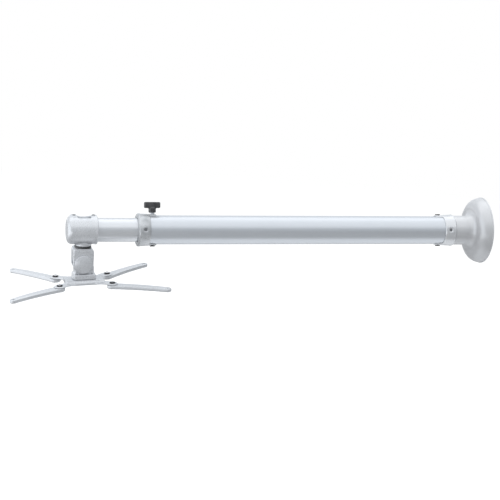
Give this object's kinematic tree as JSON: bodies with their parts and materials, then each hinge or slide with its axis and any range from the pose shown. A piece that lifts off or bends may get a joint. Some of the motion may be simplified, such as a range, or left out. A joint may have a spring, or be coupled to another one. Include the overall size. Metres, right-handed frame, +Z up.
{
  "type": "projector mount",
  "caption": "Telescopic wall arm with a trumpet-shaped wall cover, a clamp knob and a swivelling, tilting cradle of pivoting gripper arms for a projector.",
  "frame": {"origin": "centre of the wall face, on the axis of the arm", "axes": "+X points into the wall, the arm runs along -X, +Z is up"},
  "size_m": [0.901, 0.2028, 0.1722],
  "materials": {
    "paint": "satin light grey enamel",
    "tube": "satin silver",
    "steel": "zinc plated",
    "black_steel": "black oxide",
    "black_plastic": "moulded black",
    "nylon": "natural nylon"
  },
  "bodies": {
    "root": {"wall_plate": "steel", "bell_cover": "paint", "outer_tube": "tube", "rear_ring": "paint", "rear_ring_screws": "black_steel", "rear_side_screws": "black_steel", "front_collar": "paint", "collar_screw": "black_steel", "collar_side_screws": "black_steel", "front_bush": "nylon"},
    "tail": {"rear_bush": "nylon"},
    "boom": {"inner_tube": "tube", "tee_head": "paint", "tee_set_screws": "black_steel", "swivel_bolt": "steel", "bolt_saddle": "steel", "swivel_washer": "black_plastic", "swivel_nut": "steel"},
    "knuckle": {"yoke": "paint", "tilt_bolt": "steel", "tilt_nut": "steel", "tilt_caps": "paint", "tilt_washers": "nylon"},
    "cradle": {"tilt_block": "paint", "cradle_plate": "paint", "block_screws": "steel", "pivot_screws": "black_steel", "pivot_nuts": "steel"},
    "pad": {"pressure_pad": "nylon"},
    "knob": {"knob_stud": "steel", "clamp_knob": "black_plastic"},
    "arm_back_left": {"arm_back_left": "paint"},
    "arm_front_left": {"arm_front_left": "paint"},
    "arm_back_right": {"arm_back_right": "paint"},
    "arm_front_right": {"arm_front_right": "paint"}
  },
  "joints": [
    {"name": "arm_slide", "type": "slide", "parent": "root", "child": "tail", "axis": [-1, 0, 0], "range_m": [-0.055, 0.4]},
    {"name": "arm_roll", "type": "hinge", "parent": "tail", "child": "boom", "pos_m": [-0.765, 0, 0], "axis": [1, 0, 0], "continuous": true},
    {"name": "pad_slide", "type": "slide", "parent": "root", "child": "pad", "axis": [0, 0.2504, 0.9681], "range_m": [0, 0.0025]},
    {"name": "knob_turn", "type": "hinge", "parent": "pad", "child": "knob", "pos_m": [-0.6405, 0, 0], "axis": [0, 0.2504, 0.9681], "range_deg": [0, 720]},
    {"name": "head_pan", "type": "hinge", "parent": "boom", "child": "knuckle", "pos_m": [-0.765, 0, 0], "axis": [0, 0, 1], "continuous": true},
    {"name": "head_tilt", "type": "hinge", "parent": "knuckle", "child": "cradle", "pos_m": [-0.765, 0, -0.0595], "axis": [0, 1, 0], "range_deg": [-15, 21]},
    {"name": "back_left_swing", "type": "hinge", "parent": "cradle", "child": "arm_back_left", "pos_m": [-0.80821, 0.031, -0.09481], "axis": [-0.0523, 0, 0.9986], "range_deg": [-47, 42]},
    {"name": "front_left_swing", "type": "hinge", "parent": "cradle", "child": "arm_front_left", "pos_m": [-0.80821, -0.031, -0.09481], "axis": [-0.0523, 0, 0.9986], "range_deg": [-26, 63]},
    {"name": "back_right_swing", "type": "hinge", "parent": "cradle", "child": "arm_back_right", "pos_m": [-0.71434, 0.031, -0.08989], "axis": [-0.0523, 0, 0.9986], "range_deg": [-33, 57]},
    {"name": "front_right_swing", "type": "hinge", "parent": "cradle", "child": "arm_front_right", "pos_m": [-0.71434, -0.031, -0.08989], "axis": [-0.0523, 0, 0.9986], "range_deg": [-70, 19]}
  ],
  "couplings": [
    {"joint": "knob_turn", "follows": "pad_slide", "rad_per_m": 5026.5}
  ]
}
